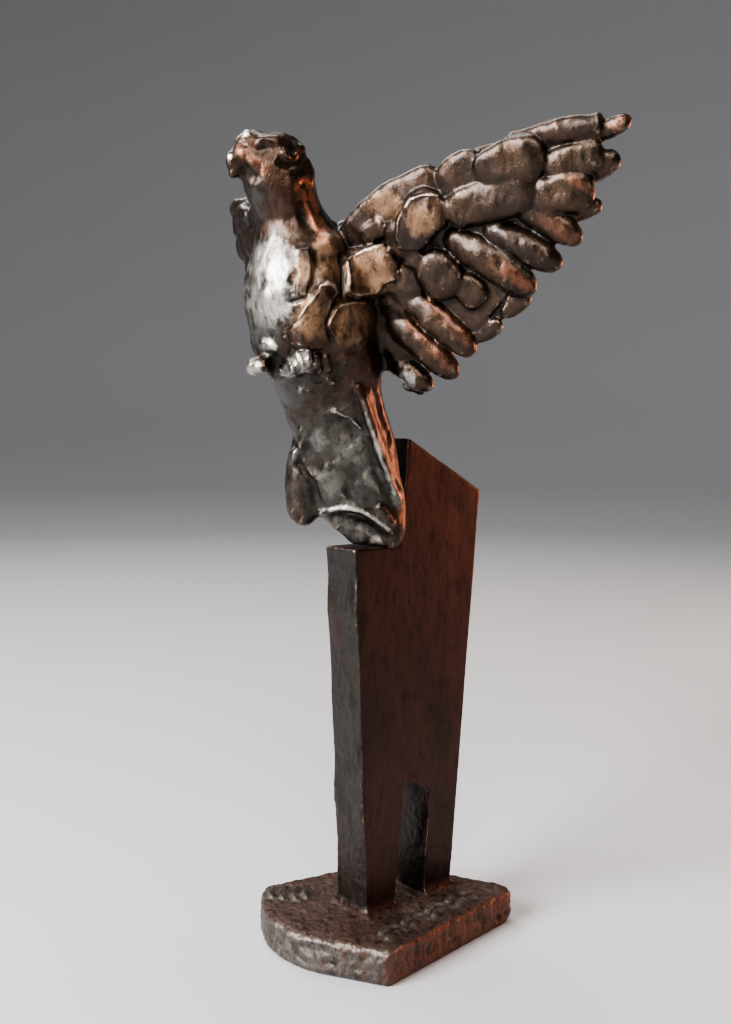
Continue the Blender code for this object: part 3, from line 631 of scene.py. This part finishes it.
# the bird's skin
bird = {
    "coreVoxel": 0.7,
    "coreSmoothing": 8,
    "coreSink": 1.2,      # how deep the core lies under the feathers on the wings
    "wingStarts": 14.0,   # |y| from which the core sinks, and over how much
    "wingFade": 4.0,
    "voxel": 0.37,
    "smoothing": 3,
    "trianglesKept": 196000,
    # flat plates: outline in pixels, how high they stand and how high their rim is
    "plates": [
        ([(319, 283), (327, 280), (335, 284), (338, 293), (331, 306), (328, 319), (327, 328), (331, 339),
          (322, 350), (304, 352), (290, 344), (281, 336), (289, 329), (297, 318), (306, 305), (314, 294)],
         0.7, 0.35),
        ([(329, 318), (333, 309), (340, 303), (354, 301), (371, 301), (377, 311), (377, 322), (372, 334),
          (363, 341), (350, 342), (338, 342), (330, 336), (326, 327)], 0.6, 0.35),
        ([(345, 293), (344, 262), (351, 257), (368, 247), (383, 243), (392, 248), (397, 260), (401, 272),
          (400, 280), (386, 286), (379, 295), (358, 299), (348, 296)], 0.9, 0.45),
        ([(295, 249), (311, 246), (313, 268), (309, 292), (306, 296), (291, 298), (296, 275)], 0.4, 0.0),
        ([(394, 236), (398, 218), (410, 197), (426, 192), (443, 194), (448, 207), (449, 225), (443, 238),
          (429, 250), (407, 253), (397, 248)], 0.3, 0.4),
    ],
    # crests, folds and, below 0, grooves: pixels, radius, height
    "lines": [
        ("fold", [(239, 143), (247, 145)], 1.2, -0.35),
        ("fold", [(240, 167), (250, 175), (259, 180)], 2.6, -0.6),
        ("fold", [(262, 138), (268, 150), (272, 160)], 1.6, -0.3),
        ("fold", [(275, 160), (288, 164), (303, 161)], 1.7, -0.7),
        ("fold", [(303, 180), (304, 188)], 1.2, -0.5),
        ("fold", [(262, 186), (264, 206), (268, 230)], 2.4, -0.3),
        ("fold", [(300, 192), (303, 212), (308, 234)], 2.2, -0.3),
        ("fold", [(284, 136), (298, 143), (309, 154)], 2.8, -0.8),
        ("fold", [(311, 350), (312, 358), (314, 370)], 0.7, -0.9),
        ("fold", [(296, 352), (298, 360), (301, 372)], 0.7, -0.7),
        ("fold", [(296, 377), (310, 378), (324, 379)], 1.4, -0.9),
        ("crest", [(311, 248), (312, 268), (308, 292)], 1.2, 0.3),
        ("fold", [(284, 302), (296, 300), (309, 296)], 0.8, -0.7),
        ("fold", [(300, 306), (294, 320), (276, 334), (258, 333)], 1.6, -0.5),
        ("crest", [(322, 281), (308, 301), (294, 322), (279, 338)], 0.9, 0.4),
        ("fold", [(342, 250), (341, 272), (343, 300)], 0.9, -0.8),
        ("fold", [(264, 352), (275, 362), (284, 378)], 2.6, -1.0),
        ("fold", [(286, 384), (304, 383), (322, 382)], 2.0, -0.9),
        ("fold", [(336, 354), (338, 372), (344, 396)], 2.0, -0.7),
        ("fold", [(306, 402), (324, 398), (344, 404)], 3.0, -0.6),
        ("crest", [(318, 416), (326, 412), (337, 411), (350, 416), (372, 440)], 1.2, 0.6),
        ("fold", [(330, 420), (345, 424), (358, 440)], 1.8, -0.5),
        ("fold", [(306, 436), (312, 458), (318, 478)], 2.6, -1.0),
        ("fold", [(358, 474), (350, 484), (344, 496)], 3.0, -0.8),
        ("fold", [(291, 429), (299, 462), (313, 484), (316, 506)], 1.4, -0.8),
        ("fold", [(346, 498), (362, 494), (376, 498)], 2.6, -0.5),
        ("fold", [(372, 386), (381, 418), (390, 452), (400, 486)], 1.1, -0.6),
        ("crest", [(358, 388), (370, 418), (377, 440), (387, 474), (402, 500)], 0.8, 0.5),
        ("fold", [(351, 392), (361, 422), (369, 448), (379, 480), (392, 506)], 1.4, -0.35),
        ("fold", [(324, 520), (345, 519), (366, 525), (388, 541)], 1.6, -0.7),
        ("crest", [(352, 545), (372, 548), (394, 547)], 1.0, 0.45),
    ],
    # roughness of the hand-worked skin: size of a lump, stretch along Z, height, start of the noise
    "roughness": [(7.0, 1.0, 0.26, 3.1), (3.0, 1.6, 0.12, 5.3), (1.3, 2.2, 0.09, 7.7),
                  (0.75, 1.4, 0.035, 1.9)],
    "towardsPhoto": 2.5,  # how soon the patina and the painted light end on what turns away from the photograph
    "silverEnds": 17.0,   # y beyond which there is none, so that the far wing stays brown
    "silverFade": 5.0,
    # patina and painted light in round patches: middle in pixels, and reach
    "patinaAndLight": {
        # silver: worn silver bronze with a painted highlight of the left lamp on the breast, knuckles, brow,
        # beak tip and tail lip
        "silver_and_highlight": [(270, 262, 28), (269, 298, 30), (303, 362, 15), (268, 348, 10), (252, 369, 11),
                   (230, 156, 3), (245, 132, 6), (407, 380, 10), (376, 545, 10), (288, 371, 8)],
        "tan": [(372, 272, 34), (304, 272, 16), (334, 268, 20), (315, 316, 28), (352, 322, 28),
                (330, 246, 19), (422, 220, 19), (385, 205, 20)],
        "red": [(270, 160, 44), (296, 200, 36), (318, 345, 24), (350, 340, 30), (372, 380, 34),
                (386, 425, 20), (394, 462, 18)],
        "cool": [(340, 470, 78), (262, 334, 22), (360, 530, 36), (250, 195, 16), (254, 218, 14),
                 (292, 388, 26)],
        # painted sheen: soft highlights on the planes of the tail, its end and the lower breast
        "painted_sheen": [(352, 448, 20), (329, 482, 18), (374, 476, 12), (346, 514, 16), (318, 440, 12),
                  (262, 326, 22), (352, 534, 16), (291, 455, 10), (398, 500, 10)],
        # painted orange glow of the right lamp on the beak and the eye
        "painted_orange_glow": [(243, 152, 7), (299, 152, 5)],
        # painted shade under the beak, on the throat and along the tail's strap
        "painted_shade": [(251, 178, 11), (262, 187, 8), (376, 394, 13), (382, 412, 13), (386, 430, 12),
                  (392, 450, 12), (398, 470, 10)],
    },
    "patchEdge": (1.15, 0.7),   # where a patch ends and over how much it fades, in reaches
    "lineEdge": (1.5, 1.2),
    "lineShare": 0.68,    # the most patina that a line gets
    # and along lines: path in pixels, and reach
    "patinaAndLightLines": {
        # painted highlights along the tail's crest and along the lip of its end
        "silver_and_highlight": [([(366, 414), (375, 440), (385, 468), (395, 494)], 1.9),
                   ([(330, 510), (346, 508), (363, 512), (382, 524), (392, 532)], 1.7)],
        # painted warm light of the right lamp down the right side of the neck
        "painted_warm_light": [([(302, 184), (309, 202), (316, 220), (323, 238)], 7)],
        # painted orange glow of the right lamp on the cheek and the tips of the feathers
        "painted_orange_glow": [([(240, 150), (252, 160), (263, 170)], 5), ([(412, 324), (432, 344), (450, 363)], 8),
                   ([(432, 302), (450, 319), (466, 338)], 7), ([(494, 264), (510, 273), (527, 287)], 7),
                   ([(546, 223), (560, 231), (574, 239)], 6), ([(566, 177), (581, 184), (594, 194)], 5),
                   ([(614, 126), (627, 116)], 5)],
    },
}


def thin(item, triangles):
    # keeps about this many triangles, the most where the surface bends
    now = sum(len(p.vertices) - 2 for p in item.data.polygons)
    if now > triangles:
        fewer = item.modifiers.new("fewer", "DECIMATE")
        fewer.ratio = triangles / now
        applyModifiers(item)
    print(item.name, now, "triangles thinned to", sum(len(p.vertices) - 2 for p in item.data.polygons))


def roughen(skin, rows, share=1.0):
    # an uneven, hand-worked surface
    for size, stretch, height, seed in rows:
        skin.push(height * share * skin.grain(size, stretch=(1, 1, stretch), seed=seed))


def makeBird():
    core = copyOfNode("pigeon")
    remesh(core, bird["coreVoxel"], bird["coreSmoothing"])
    skin = Skin(core)
    skin.push(-bird["coreSink"] * above(np.abs(skin.points[:, 1]) / mm, bird["wingStarts"], bird["wingFade"]))
    print("core of the bird:", skin.count, "points")
    pieces = [core] + makeMasses(core) + makeWing(-1) + makeWing(1)
    item = joinAll(pieces, "pigeon_cast")
    remesh(item, bird["voxel"], bird["smoothing"])
    skin = Skin(item)
    print("skin of the bird:", skin.count, "points")
    workSkin(skin, bird["plates"], bird["lines"])
    roughen(skin, bird["roughness"])
    thin(item, bird["trianglesKept"])
    layPatinaAndLight(finishSkin(item))
    return item


def layPatinaAndLight(skin):
    # an attribute for each patina and each painted light on the bird, where the photograph shows it
    pixels, _ = toPixels(skin.points)
    toEye = photoEye - skin.points
    facing = np.einsum("ij,ij->i", skin.normals, toEye) / np.linalg.norm(toEye, axis=1)
    near = np.clip(facing * bird["towardsPhoto"] + 1, 0, 1)
    patchEnd, patchFade = bird["patchEdge"]
    lineEnd, lineFade = bird["lineEdge"]
    for name in finishes["bird bronze"]["order"]:
        share = np.zeros(skin.count)
        for x, y, reach in bird["patinaAndLight"].get(name, []):
            away = np.hypot(pixels[:, 0] - x, pixels[:, 1] - y)
            share = np.maximum(share, below(away, reach * patchEnd, reach * patchFade))
        for path, reach in bird["patinaAndLightLines"].get(name, []):
            away, _ = distanceToPath(pixels, path)
            onLine = below(away, reach * lineEnd, reach * lineFade)
            share = np.maximum(share, np.minimum(onLine, bird["lineShare"]))
        if name == "silver_and_highlight":
            share *= below(skin.points[:, 1] / mm, bird["silverEnds"], bird["silverFade"])
        skin.keep(name, share * near)


def finishSkin(item):
    skin = Skin(item)
    skin.keep("crest", skin.heightsOver(hand["crestRounds"]))
    skin.keep("relief", skin.heightsOver(hand["reliefRounds"]))
    pick(item)
    bpy.ops.object.shade_smooth()
    return skin


# plinth
plinth = {
    "voxel": 0.35,
    "smoothing": 1,
    "trianglesKept": 190000,
    "footTop": 9.0,
    "rimDents": 0.6,      # depth of the hammered dents round the foot, and how far apart they lie
    "dentSpacing": 3.2,
    "dentRoundness": 1.6,
    "dentsFrom": 0.01,    # the least share of rim that gets them
    # heights above the foot's top at which the rim and the foot end, and over how much they fade
    "rimEnds": (0.2, 1.2),
    "footEnds": (1.5, 1.0),
    "offFloor": 1.5,      # height over which roughness starts, so that the underside stays flat
    "narrowTurn": (0.6, 0.2),   # how much a narrow side of the slab turns towards X
    # size of a lump, stretch along Z, height, start of the noise
    "footLumps": [(5.0, 1.0, 0.26, 9.2), (1.6, 1.0, 0.14, 4.4), (0.8, 1.0, 0.09, 8.8)],
    "slabLumps": [(10.0, 2.0, 0.12, 2.4), (1.2, 2.5, 0.018, 5.1)],
    "narrowLumps": [(6.0, 2.0, 0.26, 6.8), (1.5, 1.2, 0.10, 3.3), (0.8, 1.0, 0.05, 7.2)],
    # shallow strokes on the foot in pairs: middle of the first pair, step to the next, how many, angle
    "strokeRows": [
        ((-7.8, -16.7), (8.36, 0.74), 4, 5),
        ((-16.8, 18.8), (4.6, -4.15), 2, 48),
    ],
    "strokeLength": 7.8,
    "strokeWidth": 1.0,
    "strokeDepth": 1.1,
    "strokeApart": 2.9,
    "strokeBow": 1.5,
    "strokeBlunt": 2.4,
    "strokeShorter": 0.18,      # share by which every other stroke is shorter
    "strokePoints": (-1, -0.6, 0, 0.6, 1),   # from one end to the other
    "strokeReach": 1.5,   # widths round a stroke that stay smooth, and how smooth
    "strokeCalm": 0.85,
    # patina and painted light: where it starts or ends, and over how much; heights are above the foot's top
    "edgeAbove": 1.5,
    "frontOfX": (-4, 8),
    "rimBelow": (0.6, 0.8),
    "outwardTurn": (0.9, 0.3),
    "tanBelow": (0.8, 0.8),
    "redTurn": (-0.5, 0.3),
    "redBelow": (-0.4, 0.6),
}


def strokePaths():
    # bowed lines in millimetres, in pairs
    paths = []
    for first, step, count, angle in plinth["strokeRows"]:
        turn = math.radians(angle)
        along = Vector((math.cos(turn), math.sin(turn), 0))
        across = Vector((-along.y, along.x, 0))
        for k in range(count):
            middle = Vector((first[0] + step[0] * k, first[1] + step[1] * k, plinth["footTop"]))
            for j in (-0.5, 0.5):
                line = middle + across * plinth["strokeApart"] * j
                half = plinth["strokeLength"] / 2 * (1 - plinth["strokeShorter"] * ((k + (j > 0)) % 2))
                paths.append([line + along * half * t + across * plinth["strokeBow"] * (1 - t * t)
                              for t in plinth["strokePoints"]])
    return paths


def hammerDents(skin, where):
    # round dents side by side, 0 in their middles and up to 1 between them
    out = np.zeros(skin.count)
    for i in np.nonzero(where > plinth["dentsFrom"])[0]:
        distances, _ = noise.voronoi(Vector(skin.points[i] / (plinth["dentSpacing"] * mm)))
        out[i] = min(distances[0] * plinth["dentRoundness"], 1)
    return out * where


def nearStrokes(skin):
    # 1 on the strokes and just beside them
    near = np.zeros(skin.count)
    for path in strokePaths():
        away, _ = distanceToPath(skin.points[:, :2] / mm, [tuple(p)[:2] for p in path])
        near = np.maximum(near, below(away / plinth["strokeWidth"], plinth["strokeReach"], 1))
    return near * (skin.points[:, 2] / mm > plinth["footTop"] - 1)


def makePlinth():
    strokes = [layRoll(path, plinth["strokeWidth"], plinth["strokeDepth"], (0, 0, 1), plinth["strokeBlunt"],
                       rootWidth=1.0) for path in strokePaths()]
    item = joinAll([copyOfNode("plinth")] + strokes, "plinth_cast")
    remesh(item, plinth["voxel"], plinth["smoothing"])
    skin = Skin(item)
    print("skin of the plinth:", skin.count, "points")
    z = skin.points[:, 2] / mm
    top = plinth["footTop"]
    offFloor = above(z, 0, plinth["offFloor"])
    rimEnd, rimFade = plinth["rimEnds"]
    footEnd, footFade = plinth["footEnds"]
    onRim = below(z, top + rimEnd, rimFade) * offFloor
    onFoot = below(z, top + footEnd, footFade) * offFloor
    onSlab = 1 - below(z, top + footEnd, footFade)
    narrow = above(np.abs(skin.normals[:, 0]), *plinth["narrowTurn"]) * onSlab
    # the rim first stands out by half a dent, so that it keeps its place
    skin.push(-plinth["rimDents"] * (1 - hammerDents(skin, onRim)) * onRim + plinth["rimDents"] * 0.5 * onRim)
    roughen(skin, plinth["footLumps"], onFoot * (1 - plinth["strokeCalm"] * nearStrokes(skin)))
    roughen(skin, plinth["slabLumps"], onSlab)
    roughen(skin, plinth["narrowLumps"], narrow)
    thin(item, plinth["trianglesKept"])
    skin = finishSkin(item)
    height = skin.points[:, 2] / mm - top
    onEdge = above(np.abs(skin.normals[:, 0]), *plinth["narrowTurn"]) * above(height, 0, plinth["edgeAbove"])
    frontRim = below(skin.points[:, 0] / mm, *plinth["frontOfX"]) * below(height, *plinth["rimBelow"])
    outwards = below(np.abs(skin.normals[:, 2]), *plinth["outwardTurn"])
    # the narrow sides of the slab greyer: partly their patina, partly painted cool light of the left lamp
    skin.keep("cool", onEdge)
    # the front rim is silvery: worn hammered bronze with a painted highlight of the left lamp; the strokes
    # are pale
    skin.keep("silver_and_highlight", np.maximum(frontRim * outwards, nearStrokes(skin)))
    skin.keep("tan", below(height, *plinth["tanBelow"]))
    # redder on the foot's side that faces -Y: partly red-brown patina, partly painted warm light of the right
    # lamp
    skin.keep("red", below(skin.normals[:, 1], *plinth["redTurn"]) * below(height, *plinth["redBelow"]))
    return item


# linear colours; each zone, of patina and of painted light, lies over the one before it, in the order given
finishes = {
    "bird bronze": {
        "deep": (0.006, 0.005, 0.004),
        "brown": (0.039, 0.0205, 0.0108),
        "dark": (0.022, 0.0125, 0.0078),
        "tan": (0.172, 0.096, 0.053),
        "red": (0.040, 0.0175, 0.0100),
        "cool": (0.044, 0.041, 0.035),
        "painted_sheen": (0.112, 0.105, 0.091),
        "painted_shade": (0.018, 0.0085, 0.005),
        "painted_orange_glow": (0.130, 0.052, 0.028),
        "painted_warm_light": (0.300, 0.115, 0.060),
        "silver_and_highlight": (0.38, 0.36, 0.33),
        "worn": (0.42, 0.33, 0.26),
        "order": ("red", "cool", "painted_shade", "painted_sheen", "tan", "painted_orange_glow", "painted_warm_light", "silver_and_highlight"),
        "stretch": (1, 1, 0.7),
        "roughness": (0.27, 0.42),
        "coat": 0.25,
        "grain": 0.7,
        "streakBump": 0.30,
    },
    "plinth bronze": {
        "deep": (0.008, 0.005, 0.004),
        "brown": (0.043, 0.0195, 0.0152),
        "dark": (0.025, 0.0135, 0.0115),
        "tan": (0.085, 0.055, 0.043),
        "cool": (0.030, 0.028, 0.025),
        "silver_and_highlight": (0.115, 0.102, 0.090),
        "red": (0.120, 0.048, 0.030),
        "worn": (0.34, 0.19, 0.13),
        "order": ("cool", "tan", "silver_and_highlight", "red"),
        "stretch": (1, 1, 0.35),
        "roughness": (0.36, 0.50),
        "coat": 0.10,
        "grain": 0.6,
        "streakBump": 0.10,
    },
}

# what both bronzes share
bronze = {
    "metallic": 0.85,
    "coatRoughness": 0.30,
    # scale and detail of the noise patterns
    "patches": (95, 4),
    "streaks": (520, 3),
    "speckle": (1500, 3),
    "grain": (2800, 2),
    "harshness": 0.6,
    # the part of a pattern that counts and, where there are four numbers, what its ends become
    "darkPatches": (0.42, 0.62),
    "zoneStreaks": (0.3, 0.7, -0.28, 0.28),
    "zoneEdge": (0.24, 0.84),
    "zonePatches": (0.36, 0.58, 0.55, 1.0),
    "deepStreaks": (0.50, 0.32, 0.0, 0.6),
    "deepSpeckle": (0.42, 0.30, 0.0, 0.7),
    "shadeInHollows": (-0.04, -0.38),
    "crests": (0.02, 0.16),
    "wornStreaks": (0.36, 0.62, 0.3, 1.0),
    "lessWornOnRed": (0.0, 1.0, 1.0, 0.4),
    "wornEdge": (0.30, 1.0, 0.0, 0.8),
    "roughStreaks": (0.3, 0.7),
    "tanRoughness": 0.12,
    "grainHeight": 0.00012,     # metres, as the next
    "streakHeight": 0.0004,
}


def addNode(tree, kind, **values):
    node = tree.nodes.new(kind)
    for name, value in values.items():
        if name in node.inputs:
            node.inputs[name].default_value = value
        else:
            setattr(node, name, value)
    return node


def mixColours(tree, share, first, second):
    # first and second are a colour or another node's output; sockets 6 and 7 are the mix node's colours
    mix = tree.nodes.new("ShaderNodeMix")
    mix.data_type = "RGBA"
    tree.links.new(share, mix.inputs["Factor"])
    for socket, value in ((mix.inputs[6], first), (mix.inputs[7], second)):
        if isinstance(value, tuple):
            socket.default_value = (*value, 1)
        else:
            tree.links.new(value, socket)
    return mix.outputs[2]


def makeBronze(name):
    look = finishes[name]
    material = bpy.data.materials.new(name)
    material.use_nodes = True
    tree = material.node_tree
    shader = tree.nodes["Principled BSDF"]
    place = tree.nodes.new("ShaderNodeTexCoord")
    mapping = addNode(tree, "ShaderNodeMapping", Scale=look["stretch"])
    tree.links.new(place.outputs["Object"], mapping.inputs["Vector"])

    def cloud(pattern, source):
        scale, detail = bronze[pattern]
        texture = addNode(tree, "ShaderNodeTexNoise", Scale=scale, Detail=detail,
                          Roughness=bronze["harshness"])
        tree.links.new(source.outputs[0] if source is mapping else source.outputs["Object"],
                       texture.inputs["Vector"])
        return texture.outputs["Fac"]

    patches = cloud("patches", mapping)
    streaks = cloud("streaks", mapping)
    speckle = cloud("speckle", place)
    grain = cloud("grain", place)

    def attribute(label):
        return addNode(tree, "ShaderNodeAttribute", attribute_name=label).outputs["Fac"]

    def ranged(source, fromMin, fromMax, toMin=0.0, toMax=1.0):
        node = addNode(tree, "ShaderNodeMapRange", **{"From Min": fromMin, "From Max": fromMax,
                                                      "To Min": toMin, "To Max": toMax})
        tree.links.new(source, node.inputs["Value"])
        return node.outputs["Result"]

    def sums(operation, first, second):
        node = tree.nodes.new("ShaderNodeMath")
        node.operation = operation
        for socket, value in zip(node.inputs, (first, second)):
            if isinstance(value, float):
                socket.default_value = value
            else:
                tree.links.new(value, socket)
        return node.outputs["Value"]

    tone = mixColours(tree, ranged(patches, *bronze["darkPatches"]), look["brown"], look["dark"])
    for zone in look["order"]:
        share = sums("ADD", attribute(zone), ranged(streaks, *bronze["zoneStreaks"]))
        share = sums("MULTIPLY", ranged(share, *bronze["zoneEdge"]), ranged(patches, *bronze["zonePatches"]))
        tone = mixColours(tree, share, tone, look[zone])
    # darker in the hollows of the relief: painted shade; the streaks and speckle are dark flecks of patina
    hollows = ((streaks, "deepStreaks"), (speckle, "deepSpeckle"), (attribute("relief"), "shadeInHollows"))
    for source, part in hollows:
        tone = mixColours(tree, ranged(source, *bronze[part]), tone, look["deep"])
    edge = ranged(attribute("crest"), *bronze["crests"])
    worn = sums("MULTIPLY", edge, ranged(streaks, *bronze["wornStreaks"]))
    worn = sums("MULTIPLY", worn, ranged(attribute("red"), *bronze["lessWornOnRed"]))
    tone = mixColours(tree, ranged(worn, *bronze["wornEdge"]), tone, look["worn"])
    tree.links.new(tone, shader.inputs["Base Color"])

    rough = ranged(streaks, *bronze["roughStreaks"], *look["roughness"])
    rough = sums("ADD", rough, sums("MULTIPLY", attribute("tan"), bronze["tanRoughness"]))
    tree.links.new(rough, shader.inputs["Roughness"])

    fine = addNode(tree, "ShaderNodeBump", Strength=look["grain"], Distance=bronze["grainHeight"])
    tree.links.new(grain, fine.inputs["Height"])
    broad = addNode(tree, "ShaderNodeBump", Strength=look["streakBump"], Distance=bronze["streakHeight"])
    tree.links.new(streaks, broad.inputs["Height"])
    tree.links.new(fine.outputs["Normal"], broad.inputs["Normal"])
    tree.links.new(broad.outputs["Normal"], shader.inputs["Normal"])

    shader.inputs["Metallic"].default_value = bronze["metallic"]
    shader.inputs["Coat Weight"].default_value = look["coat"]
    shader.inputs["Coat Roughness"].default_value = bronze["coatRoughness"]
    return material


def dress(item, material, node):
    item.data.materials.clear()
    item.data.materials.append(material)
    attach(item, "root")
    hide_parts(node)


# floor and light
studio = {
    "paper": (0.38, 0.38, 0.385),
    "paperRoughness": 0.9,
    # the paper is a wide bowl: radius and height of points of its profile, in metres
    "bowl": [(0, 0), (1.2, 0), (1.6, 0.04), (1.95, 0.16), (2.2, 0.42), (2.32, 0.8), (2.35, 2.6)],
    "bowlSteps": 48,
    "bowlSeam": 0.001,
    "world": (0.80, 0.85, 0.95),
    "worldStrength": 0.16,
    "contrast": "AgX - Medium High Contrast",
    # round lamps: name, place, aim, size, power, colour
    "lamps": [
        ("left window", (-0.76, 0.06, 0.50), (0, 0, 0.15), 0.50, 27.0, (0.97, 0.98, 1.0)),
        ("front fill", (-0.45, -0.55, 0.66), (0, 0, 0.15), 0.40, 6.5, (1.0, 0.94, 0.86)),
        ("right lamp", (0.70, -0.18, 0.15), (0, 0, 0.12), 0.26, 3.7, (1.0, 0.36, 0.19)),
        ("top light", (0.05, 0.20, 1.1), (0, 0, 0.10), 0.6, 6.0, (1.0, 1.0, 1.0)),
        ("back fill", (0.10, 0.80, 1.00), (0, 0, 0.12), 0.50, 5.0, (1.0, 0.95, 0.90)),
    ],
}


def makeStudio():
    deselectAll()
    profile = bpy.data.meshes.new("floor")
    profile.from_pydata([(r, 0, z) for r, z in studio["bowl"]],
                        [(k, k + 1) for k in range(len(studio["bowl"]) - 1)], [])
    floor = newPiece("floor", profile)
    pick(floor)
    bpy.ops.object.mode_set(mode="EDIT")
    bpy.ops.mesh.select_all(action="SELECT")
    bpy.ops.mesh.spin(steps=studio["bowlSteps"], angle=math.tau, center=(0, 0, 0), axis=(0, 0, 1))
    bpy.ops.mesh.select_all(action="SELECT")
    bpy.ops.mesh.remove_doubles(threshold=studio["bowlSeam"])
    bpy.ops.mesh.normals_make_consistent(inside=True)
    bpy.ops.object.mode_set(mode="OBJECT")
    bpy.ops.object.shade_smooth()
    paper = bpy.data.materials.new("pale paper")
    paper.use_nodes = True
    shader = paper.node_tree.nodes["Principled BSDF"]
    shader.inputs["Base Color"].default_value = (*studio["paper"], 1)
    shader.inputs["Roughness"].default_value = studio["paperRoughness"]
    floor.data.materials.append(paper)
    world = bpy.data.worlds.new("soft room")
    world.use_nodes = True
    sky = world.node_tree.nodes["Background"]
    sky.inputs["Color"].default_value = (*studio["world"], 1)
    sky.inputs["Strength"].default_value = studio["worldStrength"]
    bpy.context.scene.world = world
    bpy.context.scene.view_settings.look = studio["contrast"]
    for name, place, aim, size, power, colour in studio["lamps"]:
        data = bpy.data.lights.new(name, "AREA")
        data.shape = "DISK"
        data.size = size
        data.energy = power
        data.color = colour
        lamp = bpy.data.objects.new(name, data)
        bpy.context.scene.collection.objects.link(lamp)
        lamp.location = place
        lamp.rotation_euler = (Vector(aim) - Vector(place)).to_track_quat("-Z", "Y").to_euler()


makeCamera()
rollPattern = makeRollPattern()
dress(makePlinth(), makeBronze("plinth bronze"), "plinth")
dress(makeBird(), makeBronze("bird bronze"), "pigeon")
bpy.data.objects.remove(rollPattern)
makeStudio()
print("looks done")
